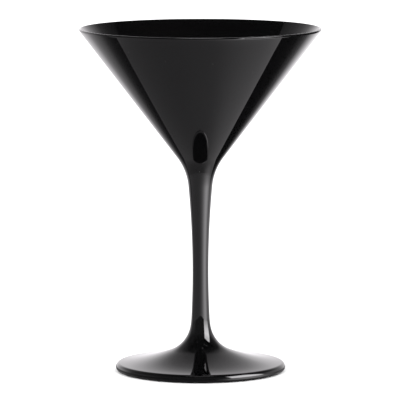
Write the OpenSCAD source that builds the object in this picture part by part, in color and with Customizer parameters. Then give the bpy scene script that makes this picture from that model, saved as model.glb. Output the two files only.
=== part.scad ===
// Martini glass: a stemware glass made in three pieces of opaque black glass.
// The bowl stands on the stem and the stem stands on the foot. Each pair is fused over a
// shallow dome that seats in a matching dish, and the outline runs on smoothly across it.
// Every piece is turned about the Z axis. The origin is on the table, under the stem.

/* [Whole glass] */
// Height from the table to the top of the lip
total_h = 168; // [165:0.5:171]
// Outer diameter of the rim
rim_d = 118; // [115:0.5:121]
// Outer diameter of the foot
foot_d = 83; // [79:0.5:87]

/* [Bowl] */
// Angle between the wall of the bowl and the upright axis, in degrees
wall_angle = 37.4; // [36.8:0.1:38]
// Thickness of the wall, which its round lip keeps
wall_t = 1.4; // [1.1:0.1:1.8]
// Radius of the round bottom inside the bowl
well_r = 12; // [10:0.5:13]

/* [Stem] */
// Diameter of the stem at its narrowest
waist_d = 7.9; // [7.4:0.1:8.3]
// Height of the narrowest place above the table
waist_h = 49; // [46:1:52]
// Radius of the long hollow curve along the stem
side_r = 448; // [430:1:480]
// Radius of the neck, where the stem opens out into the bowl
neck_r = 27; // [24:0.5:30]

/* [Foot] */
// Height where the flare leaves the long curve of the stem
flare_start_h = 26; // [25:0.5:28]
// Radius of the upper part of the flare, where the stem starts to open out
upper_flare_r = 36; // [30:1:42]
// Radius of the lower part of the flare, where it turns out into the foot
lower_flare_r = 15.5; // [14.5:0.5:16.5]
// Radius of the shallow hollow curve across the top of the foot
top_r = 98; // [92:1:106]
// Slope of the top of the foot at its edge, in degrees
edge_slope = 5.9; // [5.4:0.1:6.6]
// Thickness of the foot at its round edge
edge_t = 4; // [3.6:0.1:4.4]
// Width of the flat ring that the glass rests on
ring_w = 4.5; // [3:0.5:7]
// Height of the hollow under the middle of the foot
hollow_h = 1.2; // [0.6:0.1:1.6]

/* [Joins] */
// Height of the join between bowl and stem, measured at the skin
bowl_join_h = 98; // [97:0.5:99]
// Depth of the dome under the bowl
bowl_dome_h = 1.8; // [1.2:0.1:2.2]
// Height of the join between stem and foot, measured at the skin
foot_join_h = 23; // [22.5:0.5:24.5]
// Depth of the dome under the stem
stem_dome_h = 1.2; // [0.8:0.1:1.6]

/* [Hidden] */

black_glass = [0.02, 0.02, 0.025];
arc_steps = 24; // straight steps along each arc of an outline
$fn = 180;      // straight steps round the axis

// --- Points in the plane: [distance from the axis, height]. Angles are in degrees. ---

function heading(from, to) = (atan2(to[1] - from[1], to[0] - from[0]) + 360) % 360;

function arc(centre, r, from, to) =
    [for (i = [0:arc_steps])
        let (a = from + (to - from) * i / arc_steps)
            centre + r * [cos(a), sin(a)]];

// The arc about a centre from one point to another
function arc_between(centre, start, end) =
    arc(centre, norm(start - centre), heading(centre, start), heading(centre, end));

// Where the line from a circle's centre through a point crosses the circle
function on_circle(centre, r, through) =
    centre + r * (through - centre) / norm(through - centre);

// Where the side of a circle that is nearer the axis is at a height
function circle_at_height(centre, r, h) =
    [centre[0] - sqrt(pow(r, 2) - pow(h - centre[1], 2)), h];

// Where the line back from a point, against the unit vector way, leaves a circle
function line_out_of_circle(start, way, centre, r) =
    let (w = start - centre, b = w * way)
        start - way * (b + sqrt(b * b - w * w + r * r));

// The point at distances r1 and r2 from two centres, left of the way from the first to the second
function circles_meet(c1, r1, c2, r2) =
    let (gap = norm(c2 - c1),
         u = (c2 - c1) / gap,
         along = (r1 * r1 - r2 * r2 + gap * gap) / (2 * gap))
        c1 + along * u + sqrt(r1 * r1 - along * along) * [-u[1], u[0]];

// The arc of a dome from the axis out to its edge. It dips below the edge by depth, or rises
// above it where depth is negative.
function dome(edge, depth) =
    let (rise = (pow(edge[0], 2) + pow(depth, 2)) / (2 * depth),
         bottom = [0, edge[1] - depth])
        arc_between(bottom + [0, rise], bottom, edge);

function reversed(points) = [for (i = [len(points) - 1:-1:0]) points[i]];

// --- Wall of the bowl: a straight line up to a round lip ---

lip_r = wall_t / 2;
lip_centre = [rim_d / 2 - lip_r, total_h - lip_r];
wall_way = [sin(wall_angle), cos(wall_angle)];
wall_out = [cos(wall_angle), -sin(wall_angle)];
well_centre = [0, lip_centre[1] - lip_centre[0] / tan(wall_angle)
                  + (well_r + lip_r) / sin(wall_angle)];

// --- Side of the stem: one long hollow arc, with the neck's arc tangent to it and the wall ---

side_centre = [waist_d / 2 + side_r, waist_h];
neck_centre = line_out_of_circle(lip_centre + (lip_r + neck_r) * wall_out, wall_way,
                                 side_centre, side_r - neck_r);
neck_top = neck_centre - neck_r * wall_out;
neck_bottom = on_circle(side_centre, side_r, neck_centre);

// --- Foot: a round edge, a shallow arc over its top, and a flare of two arcs up to the stem ---

edge_r = edge_t / 2;
edge_centre = [foot_d / 2 - edge_r, edge_r];
top_centre = edge_centre + (edge_r + top_r) * [sin(edge_slope), cos(edge_slope)];
flare_start = circle_at_height(side_centre, side_r, flare_start_h);
upper_flare_centre = on_circle(flare_start, upper_flare_r, side_centre);
lower_flare_centre = circles_meet(upper_flare_centre, upper_flare_r - lower_flare_r,
                                  top_centre, top_r - lower_flare_r);
flare_middle = on_circle(upper_flare_centre, upper_flare_r, lower_flare_centre);
flare_end = on_circle(top_centre, top_r, lower_flare_centre);
ring_inside = [edge_centre[0] - ring_w, 0];

// --- Joins: where each one meets the skin, and the dome that it is made over ---

bowl_join = circle_at_height(neck_centre, neck_r, bowl_join_h);
foot_join = circle_at_height(upper_flare_centre, upper_flare_r, foot_join_h);

module turned(outline) {
    color(black_glass)
        rotate_extrude()
            polygon(outline);
}

// The conical bowl, from the dome under it, up the wall, over the lip and down the inside
module bowl() {
    turned(concat(
        dome(bowl_join, bowl_dome_h),
        arc_between(neck_centre, bowl_join, neck_top),
        arc(lip_centre, lip_r, -wall_angle, 180 - wall_angle),
        arc(well_centre, well_r, 360 - wall_angle, 270)
    ));
}

// The solid stem, from the dome under it, up its side and neck, and down into its dish
module stem() {
    turned(concat(
        dome(foot_join, stem_dome_h),
        arc_between(upper_flare_centre, foot_join, flare_start),
        arc_between(side_centre, flare_start, neck_bottom),
        arc_between(neck_centre, neck_bottom, bowl_join),
        reversed(dome(bowl_join, bowl_dome_h))
    ));
}

// The disc of the foot, from the hollow under it, over its edge and up to its dish
module foot() {
    turned(concat(
        dome(ring_inside, -hollow_h),
        arc(edge_centre, edge_r, -90, 90 - edge_slope),
        arc_between(top_centre, on_circle(top_centre, top_r, edge_centre), flare_end),
        arc_between(lower_flare_centre, flare_end, flare_middle),
        arc_between(upper_flare_centre, flare_middle, foot_join),
        reversed(dome(foot_join, stem_dome_h))
    ));
}

bowl();
stem();
foot();
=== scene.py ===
"""A black martini glass on a pale studio floor. Lengths are metres in the CAD model's frame:
Z up, the floor at z = 0, the glass on the Z axis, the camera on the -Y side."""

import math

import bpy
import numpy as np
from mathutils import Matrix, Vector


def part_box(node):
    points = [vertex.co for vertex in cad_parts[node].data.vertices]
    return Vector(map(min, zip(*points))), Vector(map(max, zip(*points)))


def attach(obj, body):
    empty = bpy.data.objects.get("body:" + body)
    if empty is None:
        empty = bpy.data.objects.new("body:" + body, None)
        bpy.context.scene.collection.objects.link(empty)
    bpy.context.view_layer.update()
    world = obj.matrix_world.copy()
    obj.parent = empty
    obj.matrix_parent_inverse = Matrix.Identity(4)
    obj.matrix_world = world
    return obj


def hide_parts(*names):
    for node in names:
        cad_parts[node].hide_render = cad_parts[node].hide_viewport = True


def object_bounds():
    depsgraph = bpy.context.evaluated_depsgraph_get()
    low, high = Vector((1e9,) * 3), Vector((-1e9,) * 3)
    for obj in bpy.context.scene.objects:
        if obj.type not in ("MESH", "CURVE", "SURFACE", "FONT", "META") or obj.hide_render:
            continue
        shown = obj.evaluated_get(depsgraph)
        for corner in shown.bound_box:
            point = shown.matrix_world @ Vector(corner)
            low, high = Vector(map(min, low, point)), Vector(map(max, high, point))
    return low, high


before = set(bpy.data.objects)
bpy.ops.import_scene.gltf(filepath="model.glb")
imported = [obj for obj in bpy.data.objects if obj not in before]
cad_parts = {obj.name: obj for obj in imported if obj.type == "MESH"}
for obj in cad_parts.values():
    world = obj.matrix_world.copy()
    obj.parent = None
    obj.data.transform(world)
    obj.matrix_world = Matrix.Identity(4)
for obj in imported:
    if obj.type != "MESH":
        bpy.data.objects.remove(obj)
CAD_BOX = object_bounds()
HIGH = CAD_BOX[1]
MM = 0.001


# ---------------------------------------------------------------- node helpers

def new_material(name):
    """An empty node material and its node tree."""
    material = bpy.data.materials.new(name)
    material.use_nodes = True
    material.node_tree.nodes.clear()
    return material, material.node_tree


def add(tree, kind, **values):
    """A shader node. A keyword sets the property of that name, or the input if there is none."""
    node = tree.nodes.new(kind)
    for key, value in values.items():
        if hasattr(node, key):
            setattr(node, key, value)
        else:
            node.inputs[key.replace("_", " ")].default_value = value
    return node


def noise(tree, place, scale, stretch=(1, 1, 1), detail=3):
    """Noise from 0 to 1 with features of 1/scale metres, which stretch makes longer along an axis."""
    longer = add(tree, "ShaderNodeMapping", vector_type="POINT")
    longer.inputs["Scale"].default_value = tuple(1 / factor for factor in stretch)
    texture = add(tree, "ShaderNodeTexNoise", Scale=scale, Detail=detail)
    tree.links.new(place, longer.inputs["Vector"])
    tree.links.new(longer.outputs["Vector"], texture.inputs["Vector"])
    return texture.outputs["Fac"]


def remap(tree, value, between, low=0.0, high=1.0):
    """Value mapped from the two limits in between to low and high, and held there beyond them."""
    start, end = between
    node = add(tree, "ShaderNodeMapRange", From_Min=start, From_Max=end, To_Min=low, To_Max=high)
    tree.links.new(value, node.inputs["Value"])
    return node.outputs["Result"]


def maths(tree, operation, first, second):
    """The result of a Math node on two outputs."""
    node = add(tree, "ShaderNodeMath", operation=operation)
    tree.links.new(first, node.inputs[0])
    tree.links.new(second, node.inputs[1])
    return node.outputs["Value"]


def bump(tree, height, depth, under=None):
    """A normal from a height of 0 to 1, depth metres deep, laid over the normal under."""
    node = add(tree, "ShaderNodeBump", Distance=depth)
    tree.links.new(height, node.inputs["Height"])
    if under:
        tree.links.new(under, node.inputs["Normal"])
    return node.outputs["Normal"]


def blend(tree, amount, first, second):
    """A colour from first to second, each of them a constant or an output."""
    node = add(tree, "ShaderNodeMix", data_type="RGBA")
    tree.links.new(amount, node.inputs["Factor"])
    colour_inputs = [socket for socket in node.inputs if socket.type == "RGBA"]
    for socket, colour in zip(colour_inputs, (first, second)):
        if isinstance(colour, tuple):
            socket.default_value = colour
        else:
            tree.links.new(colour, socket)
    return next(socket for socket in node.outputs if socket.type == "RGBA")


# ---------------------------------------------------------------- outline
# The CAD model's outline, in millimetres: (distance from the axis, height). The CAD mesh runs along
# it in straight steps, which polished glass would show, so each piece is turned again in fine ones.

TOTAL_H = HIGH.z / MM
RIM_R = HIGH.x / MM
FOOT_R = 41.5
WALL_ANGLE = math.radians(37.4)
WALL_T = 1.4
WELL_R = 12.0
WAIST_R = 3.95
WAIST_H = 49.0
SIDE_R = 448.0
NECK_R = 27.0
FLARE_START_H = 26.0
UPPER_FLARE_R = 36.0
LOWER_FLARE_R = 15.5
TOP_R = 98.0
EDGE_SLOPE = math.radians(5.9)
EDGE_R = 2.0
RING_W = 4.5
HOLLOW_H = 1.2
BOWL_JOIN_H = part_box("stem")[1].z / MM
BOWL_DOME_H = BOWL_JOIN_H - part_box("bowl")[0].z / MM
FOOT_JOIN_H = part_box("foot")[1].z / MM
STEM_DOME_H = FOOT_JOIN_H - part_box("stem")[0].z / MM

TURN = math.radians(2.0)     # greatest turn between two steps of an arc
STEP = 1.6                   # greatest length of a step
CORNER = math.radians(12)    # least turn that is a corner and isn't shaded smoothly
ROUND = 256                  # faces round the axis


def point(x, z):
    """A point or way in the plane of the outline."""
    return np.array([x, z], float)


def polar(angle):
    """The unit vector at an angle from the outward direction."""
    return point(math.cos(angle), math.sin(angle))


def straight(start, end):
    """Points along a line, closer together at its ends."""
    count = max(2, math.ceil(np.linalg.norm(end - start) / STEP) + 4)
    along = (1 - np.cos(np.linspace(0, math.pi, count + 1))) / 2
    return start + (end - start) * along[:, None]


def arc(centre, radius, start, end):
    """Points along an arc from one angle to another."""
    count = math.ceil(max(abs(end - start) / TURN, abs(end - start) * radius / STEP, 2))
    angles = np.linspace(start, end, count + 1)
    return centre + radius * np.stack([np.cos(angles), np.sin(angles)], axis=1)


def arc_between(centre, start, end):
    """Points along the shorter arc round a centre from one point to another."""
    first = math.atan2(*(start - centre)[::-1])
    last = math.atan2(*(end - centre)[::-1])
    last = first + (last - first + math.pi) % (2 * math.pi) - math.pi
    return arc(centre, np.linalg.norm(start - centre), first, last)


def on_circle(centre, radius, through):
    """Where the line from a circle's centre through a point crosses the circle."""
    return centre + radius * (through - centre) / np.linalg.norm(through - centre)


def circle_at_height(centre, radius, height):
    """Where the side of a circle that is nearer the axis is at a height."""
    return point(centre[0] - math.sqrt(radius ** 2 - (height - centre[1]) ** 2), height)


def line_out_of_circle(start, way, centre, radius):
    """Where the line back from a point, against the unit vector way, leaves a circle."""
    offset = start - centre
    ahead = offset @ way
    return start - way * (ahead + math.sqrt(ahead ** 2 - offset @ offset + radius ** 2))


def circles_meet(first, r1, second, r2):
    """The point at distances r1 and r2 from two centres, left of the way from first to second."""
    gap = np.linalg.norm(second - first)
    way = (second - first) / gap
    along = (r1 ** 2 - r2 ** 2 + gap ** 2) / (2 * gap)
    return first + along * way + math.sqrt(r1 ** 2 - along ** 2) * point(-way[1], way[0])


def dome(edge, depth):
    """The arc of a dome from the axis out to its edge. It dips below the edge by depth, or rises
    above it where depth is negative."""
    radius = (edge[0] ** 2 + depth ** 2) / (2 * depth)
    bottom = point(0, edge[1] - depth)
    return arc_between(bottom + point(0, radius), bottom, edge)


lip_r = WALL_T / 2
lip_centre = point(RIM_R - lip_r, TOTAL_H - lip_r)
wall_way = point(math.sin(WALL_ANGLE), math.cos(WALL_ANGLE))
wall_out = polar(-WALL_ANGLE)
well_centre = point(0, lip_centre[1] - lip_centre[0] / math.tan(WALL_ANGLE)
                    + (WELL_R + lip_r) / math.sin(WALL_ANGLE))
side_centre = point(WAIST_R + SIDE_R, WAIST_H)
neck_centre = line_out_of_circle(lip_centre + (lip_r + NECK_R) * wall_out, wall_way,
                                 side_centre, SIDE_R - NECK_R)
neck_top = neck_centre - NECK_R * wall_out
neck_bottom = on_circle(side_centre, SIDE_R, neck_centre)
edge_centre = point(FOOT_R - EDGE_R, EDGE_R)
top_centre = edge_centre + (EDGE_R + TOP_R) * polar(math.pi / 2 - EDGE_SLOPE)
flare_start = circle_at_height(side_centre, SIDE_R, FLARE_START_H)
upper_flare_centre = on_circle(flare_start, UPPER_FLARE_R, side_centre)
lower_flare_centre = circles_meet(upper_flare_centre, UPPER_FLARE_R - LOWER_FLARE_R,
                                  top_centre, TOP_R - LOWER_FLARE_R)
flare_middle = on_circle(upper_flare_centre, UPPER_FLARE_R, lower_flare_centre)
flare_end = on_circle(top_centre, TOP_R, lower_flare_centre)
ring_inside = point(edge_centre[0] - RING_W, 0)
bowl_join = circle_at_height(neck_centre, NECK_R, BOWL_JOIN_H)
foot_join = circle_at_height(upper_flare_centre, UPPER_FLARE_R, FOOT_JOIN_H)

# Each piece's outline, from the axis round to the axis again, as runs that share their end points.
OUTLINES = {
    "bowl": [
        dome(bowl_join, BOWL_DOME_H),
        arc_between(neck_centre, bowl_join, neck_top),
        straight(neck_top, lip_centre + lip_r * wall_out),
        arc(lip_centre, lip_r, -WALL_ANGLE, math.pi - WALL_ANGLE),
        straight(lip_centre - lip_r * wall_out, well_centre + WELL_R * wall_out),
        arc(well_centre, WELL_R, -WALL_ANGLE, -math.pi / 2),
    ],
    "stem": [
        dome(foot_join, STEM_DOME_H),
        arc_between(upper_flare_centre, foot_join, flare_start),
        arc_between(side_centre, flare_start, neck_bottom),
        arc_between(neck_centre, neck_bottom, bowl_join),
        dome(bowl_join, BOWL_DOME_H)[::-1],
    ],
    "foot": [
        dome(ring_inside, -HOLLOW_H),
        straight(ring_inside, edge_centre - point(0, EDGE_R)),
        arc(edge_centre, EDGE_R, -math.pi / 2, math.pi / 2 - EDGE_SLOPE),
        arc_between(top_centre, on_circle(top_centre, TOP_R, edge_centre), flare_end),
        arc_between(lower_flare_centre, flare_end, flare_middle),
        arc_between(upper_flare_centre, flare_middle, foot_join),
        dome(foot_join, STEM_DOME_H)[::-1],
    ],
}


def turned(name, runs):
    """A closed mesh, turned about Z from an outline that starts and ends on the axis."""
    outline = np.concatenate([runs[0]] + [run[1:] for run in runs[1:]]) * MM
    off_axis = outline[1:-1]
    angles = np.arange(ROUND) * 2 * math.pi / ROUND
    circle = np.stack([np.cos(angles), np.sin(angles)], axis=1)
    across = off_axis[:, None, :1] * circle[None]
    heights = np.repeat(off_axis[:, None, 1:], ROUND, 1)
    rings = np.concatenate([across, heights], axis=2).reshape(-1, 3)
    vertices = np.concatenate([[[0, 0, outline[0, 1]]], rings, [[0, 0, outline[-1, 1]]]])
    index = 1 + np.arange(len(rings)).reshape(-1, ROUND)
    beside = np.roll(index, -1, axis=1)
    last = len(vertices) - 1
    quads = np.stack([index[:-1], beside[:-1], beside[1:], index[1:]], axis=-1)
    faces = quads.reshape(-1, 4).tolist()
    faces += [(0, b, a) for a, b in zip(index[0].tolist(), beside[0].tolist())]
    faces += [(last, a, b) for a, b in zip(index[-1].tolist(), beside[-1].tolist())]
    mesh = bpy.data.meshes.new(name)
    mesh.from_pydata(vertices.tolist(), [], faces)
    mesh.polygons.foreach_set("use_smooth", np.ones(len(mesh.polygons), bool))
    mesh.set_sharp_from_angle(angle=CORNER)
    mesh.update()
    obj = bpy.data.objects.new(name, mesh)
    bpy.context.scene.collection.objects.link(obj)
    return obj


# ---------------------------------------------------------------- glass

BLACK = (0.0016, 0.0016, 0.0018, 1.0)
BLACK_WIPED = (0.0022, 0.0021, 0.0022, 1.0)
DUST = (0.030, 0.030, 0.030, 1.0)
WORN = (0.030, 0.030, 0.032, 1.0)
GLASS_IOR = 1.5

WAVE_H = 60e-6           # height of the slow waves that forming leaves in the skin
RIPPLE_H = 0.6e-6        # height of the fine ripple on them
POLISH_ROUGH = 0.008     # roughness of the clean skin
WIPED_ROUGH = 0.060      # roughness where a cloth has left its haze
RING_ROUGH = 0.38        # roughness of the ring that the foot rests on
RING_WEAR_H = 0.25e-3    # height up to which use has dulled that ring
LEAST_WEAR = 0.35        # how dull that ring is between its scratches

# How many features of each kind there are to the metre.
WAVES = 55
RIPPLES = 900
WIPES = 32
STREAKS = 700
SCRATCHES = 1500
SPECKS = 180

# How much longer features are along X, Y and Z. The waves run round the bowl, along the stem and
# across the foot, the streaks lie level, and the ring was scratched to and fro.
WAVE_STRETCH = {"bowl": (2.5, 2.5, 1.0), "stem": (1.0, 1.0, 8.0), "foot": (1.5, 1.5, 1.0)}
STREAK_STRETCH = (12, 12, 1)
SCRATCH_STRETCH = (6, 1, 1)

# At which values of the noise, or distances from the middle of a speck, each kind begins and is full.
WIPED_BETWEEN = (0.48, 0.70)
STREAKS_BETWEEN = (0.35, 0.75)
SCRATCHES_BETWEEN = (0.30, 0.60)
SPECKS_BETWEEN = (0.060, 0.020)


def black_glass(name, stretch):
    """Polished opaque black glass, a little wavy, with faint wipe marks and a few specks of dust.
    Use has dulled it where it rests on the table."""
    material, tree = new_material(name)
    link = tree.links.new
    place = add(tree, "ShaderNodeTexCoord").outputs["Object"]

    waves = noise(tree, place, WAVES, stretch, detail=1)
    ripple = noise(tree, place, RIPPLES)
    normal = bump(tree, waves, WAVE_H, bump(tree, ripple, RIPPLE_H))

    wiped = remap(tree, noise(tree, place, WIPES, detail=4), WIPED_BETWEEN)
    streaks = remap(tree, noise(tree, place, STREAKS, STREAK_STRETCH), STREAKS_BETWEEN)
    haze = maths(tree, "MULTIPLY", wiped, streaks)

    place_parts = add(tree, "ShaderNodeSeparateXYZ")
    link(place, place_parts.inputs["Vector"])
    low = remap(tree, place_parts.outputs["Z"], (RING_WEAR_H, 0.0))
    scratches = remap(tree, noise(tree, place, SCRATCHES, SCRATCH_STRETCH), SCRATCHES_BETWEEN,
                      LEAST_WEAR, 1.0)
    worn = maths(tree, "MULTIPLY", low, scratches)

    specks = add(tree, "ShaderNodeTexVoronoi", Scale=SPECKS)
    link(place, specks.inputs["Vector"])
    dust = remap(tree, specks.outputs["Distance"], SPECKS_BETWEEN)

    tint = blend(tree, wiped, BLACK, BLACK_WIPED)
    colour = blend(tree, worn, blend(tree, dust, tint, DUST), WORN)
    roughness = maths(tree, "MAXIMUM", remap(tree, haze, (0, 1), POLISH_ROUGH, WIPED_ROUGH),
                      remap(tree, worn, (0, 1), 0, RING_ROUGH))

    out = add(tree, "ShaderNodeOutputMaterial")
    glass = add(tree, "ShaderNodeBsdfPrincipled", IOR=GLASS_IOR)
    link(colour, glass.inputs["Base Color"])
    link(roughness, glass.inputs["Roughness"])
    link(normal, glass.inputs["Normal"])
    link(glass.outputs["BSDF"], out.inputs["Surface"])
    return material


for node_name, runs in OUTLINES.items():
    piece = turned(node_name + "_turned", runs)
    piece.data.materials.append(black_glass(node_name + "_black_glass", WAVE_STRETCH[node_name]))
    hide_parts(node_name)
    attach(piece, "root")


# ---------------------------------------------------------------- studio
# The glass shows little but what it mirrors, so the studio is made of glowing meshes that only the
# glass mirrors. Azimuth 0 is the camera's side, +90 the right and 180 behind, in degrees.

STUDIO_TINT = (1.0, 0.975, 1.0, 1.0)     # light with a trace of magenta
SHEEN_ROUGH = 0.3                        # how blurred the mirror image in a glossy surface is


def light_material(name, glossy):
    """A surface that glows by its mesh's attribute "glow" and, if glossy, dimly mirrors the studio by
    its attribute "gloss"."""
    material, tree = new_material(name)
    out = add(tree, "ShaderNodeOutputMaterial")
    surface = add(tree, "ShaderNodeEmission", Color=STUDIO_TINT)
    glow = add(tree, "ShaderNodeAttribute", attribute_name="glow")
    tree.links.new(glow.outputs["Fac"], surface.inputs["Strength"])
    if glossy:
        both = add(tree, "ShaderNodeAddShader")
        sheen = add(tree, "ShaderNodeBsdfGlossy", Roughness=SHEEN_ROUGH)
        gloss = add(tree, "ShaderNodeAttribute", attribute_name="gloss")
        tree.links.new(gloss.outputs["Fac"], sheen.inputs["Color"])
        tree.links.new(surface.outputs["Emission"], both.inputs[0])
        tree.links.new(sheen.outputs["BSDF"], both.inputs[1])
        surface = both
    tree.links.new(surface.outputs[0], out.inputs["Surface"])
    return material


def only_mirrored(obj):
    """The glass mirrors obj, and nothing else sees it or is lit or shaded by it."""
    obj.visible_camera = False
    obj.visible_diffuse = False
    obj.visible_transmission = False
    obj.visible_volume_scatter = False
    obj.visible_shadow = False


def grid_mesh(name, points, glow, gloss=None):
    """A mesh from a rows x columns x 3 array of points, with the strength of its glow at each point,
    and of its gloss if it has any."""
    rows, columns = points.shape[:2]
    index = np.arange(rows * columns).reshape(rows, columns)
    quads = np.stack([index[:-1, :-1], index[:-1, 1:], index[1:, 1:], index[1:, :-1]], axis=-1)
    mesh = bpy.data.meshes.new(name)
    mesh.from_pydata(points.reshape(-1, 3).tolist(), [], quads.reshape(-1, 4).tolist())
    for attribute, values in (("glow", glow), ("gloss", gloss)):
        if values is not None:
            stored = mesh.attributes.new(attribute, "FLOAT", "POINT")
            stored.data.foreach_set("value", values.reshape(-1).astype(np.float32))
    mesh.materials.append(light_material(name + "_light", gloss is not None))
    obj = bpy.data.objects.new(name, mesh)
    bpy.context.scene.collection.objects.link(obj)
    only_mirrored(obj)


def smooth(low, high, value):
    """0 below low, 1 above high, and a smooth step between."""
    t = np.clip((value - low) / (high - low), 0, 1)
    return t * t * (3 - 2 * t)


def curve(value, points):
    """A curve through points, at value."""
    return np.interp(value, *zip(*points))


def around(azimuth, radius):
    """X and Y of the place at an azimuth and a radius from the axis."""
    return radius * np.sin(np.radians(azimuth)), -radius * np.cos(np.radians(azimuth))


def wall(name, radius, azimuths, heights, glow):
    """An upright wall round the glass between two heights. Its glow lists (azimuth, brightness)."""
    azimuth, z = np.meshgrid(azimuths, heights)
    x, y = around(azimuth, radius)
    grid_mesh(name, np.stack([x, y, z], axis=-1), curve(azimuth, glow))


# What stands round the table. Each curve lists (elevation, brightness), and COLUMNS says at which
# azimuths the curves hold. Between them they run smoothly into each other.
BACKDROP = [
    (-90, 0.02), (-46, 0.04), (-40, 0.09), (-36, 0.18), (-32, 0.42), (-28, 0.7), (-24, 0.92),
    (-20, 1.2), (-14, 1.25), (-8, 1.22), (0, 1.45), (12, 1.38), (17, 1.18), (22, 0.9), (27, 0.6),
    (32, 0.41), (37, 0.34), (42, 0.28), (51, 0.24), (57, 0.1), (63, 0.03), (90, 0.015)]
BACKDROP_LEFT = [
    (-90, 0.02), (-46, 0.04), (-40, 0.07), (-36, 0.16), (-32, 0.4), (-28, 0.56), (-24, 0.76),
    (-20, 1.08), (-14, 1.25), (-8, 1.1), (0, 1.25), (12, 1.2), (17, 0.95), (23, 0.6), (28, 0.4),
    (34, 0.28), (40, 0.25), (45, 0.17), (57, 0.08), (63, 0.03), (90, 0.015)]
BACKDROP_RIGHT = [
    (-90, 0.0), (-38, 0.03), (-34, 0.08), (-31, 0.2), (-27, 0.33), (-23, 0.88), (-20, 1.22),
    (-17, 1.48), (-13, 1.65), (-9, 1.5), (0, 1.23), (12, 1.2), (17, 0.95), (22, 0.71), (27, 0.58),
    (32, 0.49), (37, 0.43), (42, 0.33), (51, 0.2), (57, 0.1), (63, 0.03), (90, 0.015)]
RIGHT_BACK = [
    (-90, 0.0), (-38, 0.02), (-34, 0.04), (-30, 0.13), (-26, 0.2), (-20, 0.6), (-10, 1.4),
    (-3, 0.85), (9, 0.7), (15, 0.85), (21, 0.55), (25, 0.38), (30, 0.2), (36, 0.11), (41, 0.07),
    (90, 0.015)]
LEFT = [
    (-90, 0.02), (-30, 0.04), (-25, 0.1), (-12, 0.25), (-3, 0.35), (9, 0.36), (21, 0.26),
    (27, 0.17), (33, 0.12), (45, 0.12), (57, 0.06), (69, 0.01), (90, 0.01)]
FRONT = [
    (-90, 0.1), (-3, 0.15), (33, 0.14), (39, 0.09), (51, 0.05), (63, 0.035), (69, 0.02),
    (90, 0.015)]
COLUMNS = [
    (-180, BACKDROP), (-165, BACKDROP), (-148, BACKDROP_LEFT), (-134, BACKDROP_LEFT), (-104, LEFT),
    (-84, LEFT), (-48, FRONT), (36, FRONT), (106, RIGHT_BACK), (138, RIGHT_BACK),
    (155, BACKDROP_RIGHT), (172, BACKDROP_RIGHT), (180, BACKDROP)]

# The softbox at the right: its brightness by elevation, and where each of its blurred edges starts
# and ends. The right edge leans in on the way up, between two elevations, and the top edge falls
# away to the left of an azimuth. It is dimmer towards the right.
SOFTBOX = [(-90, 5), (-4, 5), (3, 9), (9, 11.7), (21, 13.6), (28, 14.4), (34, 12.8), (40, 10.5),
           (50, 10), (90, 10)]
SOFTBOX_LEFT = (39.5, 43.5)
SOFTBOX_RIGHT = (90, 97)
SOFTBOX_TOP = (50, 55)
SOFTBOX_FOOT = (-4.5, -3.5)
SOFTBOX_LEAN = 0.2
LEAN_BETWEEN = (12, 36)
FALL_LEFT_OF = 75
DIM_SHARE = 0.3
DIM_BETWEEN = (75, 98)

# A round light overhead, which the front of the lip mirrors.
OVERHEAD_GLOW = 4.4
OVERHEAD_EDGE = (77, 80)


def softbox(azimuth, elevation):
    """How much of a direction the softbox fills, from 0 to 1."""
    start, end = LEAN_BETWEEN
    leaning = azimuth + SOFTBOX_LEAN * np.clip(elevation - start, 0, end - start)
    falling = elevation + SOFTBOX_LEAN * np.maximum(FALL_LEFT_OF - azimuth, 0)
    box = smooth(*SOFTBOX_LEFT, azimuth) * (1 - smooth(*SOFTBOX_RIGHT, leaning))
    box = box * (1 - smooth(*SOFTBOX_TOP, falling)) * smooth(*SOFTBOX_FOOT, elevation)
    return box * (1 - DIM_SHARE * smooth(*DIM_BETWEEN, azimuth))


def studio(azimuth, elevation):
    """Brightness of the studio round the glass."""
    value = np.zeros_like(azimuth)
    for (start, first), (end, second) in zip(COLUMNS, COLUMNS[1:]):
        t = smooth(start, end, azimuth)
        between = curve(elevation, first) * (1 - t) + curve(elevation, second) * t
        value = np.where((azimuth >= start) & (azimuth <= end), between, value)
    box = softbox(azimuth, elevation)
    overhead = OVERHEAD_GLOW * smooth(*OVERHEAD_EDGE, elevation)
    return value * (1 - box) + curve(elevation, SOFTBOX) * box + overhead


# The surroundings are a sphere round the middle of the glass.
SPHERE_RADIUS = 2.5
sphere_az, sphere_el = np.meshgrid(np.linspace(-180, 180, 361), np.linspace(-90, 90, 181))
sphere_x, sphere_y = around(sphere_az, SPHERE_RADIUS * np.cos(np.radians(sphere_el)))
sphere_z = HIGH.z / 2 + SPHERE_RADIUS * np.sin(np.radians(sphere_el))
grid_mesh("studio_round", np.stack([sphere_x, sphere_y, sphere_z], axis=-1),
          studio(sphere_az, sphere_el))

# A black flag beside the bowl, which keeps the softbox off its underside.
wall("studio_flag", radius=0.10, azimuths=np.linspace(30, 118, 45), heights=(0.138, 0.192),
     glow=[(0, 0.0)])

# A dark band above the bowl, open at the back, which keeps the sides of the studio out of its inside.
wall("studio_band", radius=0.14, azimuths=np.linspace(-138.5, 141, 94), heights=(0.28, 0.60),
     glow=[(0, 0.022)])

# The tabletop that the glass mirrors: a dull round mat under the glass on a glossy top, with a
# painted sheen towards the softbox at the right. Its glow is painted light: the softbox's light
# on it and the foot's contact shadow are painted in. Its back edge lists (x, y).
TABLE_BACK = [(-1.2, 0.020), (-0.165, 0.047), (-0.12, 0.054), (0.0, 0.054), (0.1, 0.042),
              (0.16, 0.0375), (1.2, 0.0375)]
TABLE_FRONT = -0.55
TABLE_SIDE = 1.2
TABLE_Z = -0.0002      # just under the foot
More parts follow.
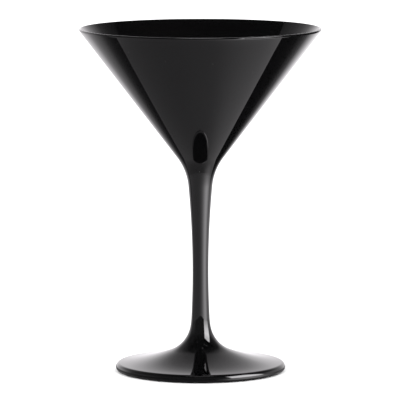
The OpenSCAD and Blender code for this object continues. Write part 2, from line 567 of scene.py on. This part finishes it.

# The glossy top's sheen is a painted reflection of the softbox: its brightness by azimuth, its
# brightness at the glass, and how far out the first is full.
PAINTED_SHEEN = [(-180, 0.7), (-100, 0.55), (-70, 0.5), (-30, 0.5), (-10, 0.6), (0, 0.8), (10, 1.1),
         (20, 1.65), (30, 2.5), (40, 3.7), (50, 4.8), (60, 5.5), (70, 5.2), (80, 3.9), (90, 2.6),
         (100, 1.7), (110, 1.3), (180, 1.0)]
PAINTED_SHEEN_AT_GLASS = 0.48
PAINTED_SHEEN_FULL_AT = 0.32

# The mat is round, with a blurred edge. The softbox's light is painted on its right side, more
# so to the back, and a bright patch of light behind the foot is painted too.
MAT_CENTRE = (0.0, 0.082)
MAT_EDGE = (0.164, 0.192)
MAT_GLOSS = 0.09
MAT_GLOW = 0.300
MAT_RIGHT_PAINTED_LIGHT = 0.460
MAT_RIGHT_FROM = 0.046
MAT_RIGHT_BLUR = 0.0145
MAT_TO_BACK = 7.3
PAINTED_PATCH_GLOW = 1.5
PATCH_CENTRE = (0.0, 0.035)
PATCH_SIZE = (0.050, 0.040)

# The painted contact shadow round the foot: its width, and its brightness against the open table.
CONTACT_SHADE = 0.0045
CONTACT_DARK = 0.1


def on_top(x, y):
    """0 on the mat and 1 on the glossy top round it."""
    return smooth(*MAT_EDGE, np.hypot(x - MAT_CENTRE[0], y - MAT_CENTRE[1]))


def mat_glow(x, y):
    """Brightness of the mat at a point, with the softbox's light and a bright patch painted on."""
    # The softbox's light, painted on the mat's right side.
    right = (1 + MAT_TO_BACK * y) / (1 + np.exp((MAT_RIGHT_FROM - x) / MAT_RIGHT_BLUR))
    across = (x - PATCH_CENTRE[0]) / PATCH_SIZE[0]
    along = (y - PATCH_CENTRE[1]) / PATCH_SIZE[1]
    return MAT_GLOW + MAT_RIGHT_PAINTED_LIGHT * right + PAINTED_PATCH_GLOW * np.exp(-across ** 2 - along ** 2)


def table_glow(x, y):
    """Painted brightness of the tabletop at a point, with its light, sheen and contact shadow."""
    from_axis = np.hypot(x, y)
    # The top's sheen towards the softbox, painted into the glow.
    painted_sheen = curve(np.degrees(np.arctan2(x, -y)), PAINTED_SHEEN)
    top = PAINTED_SHEEN_AT_GLASS + (painted_sheen - PAINTED_SHEEN_AT_GLASS) * np.minimum(from_axis / PAINTED_SHEEN_FULL_AT, 1)
    edge = on_top(x, y)
    # The foot's contact shadow, painted into the tabletop's glow.
    from_ring = from_axis - (FOOT_R - EDGE_R) * MM
    contact = CONTACT_DARK + (1 - CONTACT_DARK) * smooth(0, CONTACT_SHADE, from_ring)
    return (mat_glow(x, y) * (1 - edge) + top * edge) * contact


# Columns are closer together near the glass and where the painted sheen is strong, and rows at
# the back.
columns_x = np.unique(np.concatenate([np.linspace(-TABLE_SIDE, TABLE_SIDE, 121),
                                      np.linspace(-0.24, 0.24, 97), np.linspace(0.1, 0.6, 101)]))
rows_along = 1 - np.linspace(1, 0, 200) ** 1.6
table_x, table_along = np.meshgrid(columns_x, rows_along)
table_y = TABLE_FRONT + (curve(table_x, TABLE_BACK) - TABLE_FRONT) * table_along
table_points = np.stack([table_x, table_y, np.full_like(table_x, TABLE_Z)], axis=-1)
grid_mesh("studio_painted_table", table_points, table_glow(table_x, table_y),
          MAT_GLOSS * (1 - on_top(table_x, table_y)))

# At a low angle the glossy tabletop looks dark, but for the softbox that it mirrors. Only the edge
# of the foot meets it so, and this low wall stands in for it in painted light: dark, with a painted
# reflection of the softbox. It lists (azimuth, brightness).
LOW_WALL_PAINTED_REFLECTION = [(-180, 0.25), (-63, 0.25), (-49, 0.15), (-28, 0.1), (10, 0.1), (17, 0.6), (21, 1.9),
            (26, 2.6), (36, 3.1), (45, 2.4), (55, 0.8), (65, 0.3), (180, 0.25)]
wall("studio_painted_table_reflection", radius=0.0427, azimuths=np.linspace(-180, 180, 181),
     heights=(-0.0001, 0.0022), glow=LOW_WALL_PAINTED_REFLECTION)


# ---------------------------------------------------------------- floor and world

FLOOR_HALF = 12.0
FLOOR_WHITE = (0.9, 0.9, 0.9, 1.0)
WORLD_WHITE = (1.0, 1.0, 1.0, 1.0)
WORLD_STRENGTH = 1.8


def make_floor():
    """The pale floor that the camera sees. The glass doesn't mirror it."""
    corners = [(x * FLOOR_HALF, y * FLOOR_HALF, 0) for x, y in ((-1, -1), (1, -1), (1, 1), (-1, 1))]
    mesh = bpy.data.meshes.new("floor")
    mesh.from_pydata(corners, [], [(0, 1, 2, 3)])
    material, tree = new_material("floor_white")
    out = add(tree, "ShaderNodeOutputMaterial")
    matt = add(tree, "ShaderNodeBsdfDiffuse", Color=FLOOR_WHITE)
    tree.links.new(matt.outputs["BSDF"], out.inputs["Surface"])
    mesh.materials.append(material)
    obj = bpy.data.objects.new("floor", mesh)
    bpy.context.scene.collection.objects.link(obj)
    obj.visible_glossy = False


make_floor()

world = bpy.data.worlds.new("studio_world")
bpy.context.scene.world = world
world.use_nodes = True
background = world.node_tree.nodes["Background"]
background.inputs["Color"].default_value = WORLD_WHITE
background.inputs["Strength"].default_value = WORLD_STRENGTH
world.cycles_visibility.glossy = False


# ---------------------------------------------------------------- camera

CAMERA_AT = (0.00005, -2.000, 0.329)
CAMERA_DOWN = 6.987      # degrees below level
CAMERA_ROLL = 0.06       # degrees
CAMERA_LENS = 371.6      # millimetres
SENSOR_WIDTH = 36        # millimetres

camera_data = bpy.data.cameras.new("camera")
camera_data.sensor_width = SENSOR_WIDTH
camera_data.lens = CAMERA_LENS
camera_data.clip_start = 0.1
camera_data.clip_end = 100
camera = bpy.data.objects.new("camera", camera_data)
bpy.context.scene.collection.objects.link(camera)
camera.location = CAMERA_AT
camera.rotation_euler = (math.radians(90 - CAMERA_DOWN), math.radians(CAMERA_ROLL), 0)
bpy.context.scene.camera = camera

bpy.context.scene.view_settings.view_transform = "Standard"
bpy.context.scene.view_settings.look = "None"
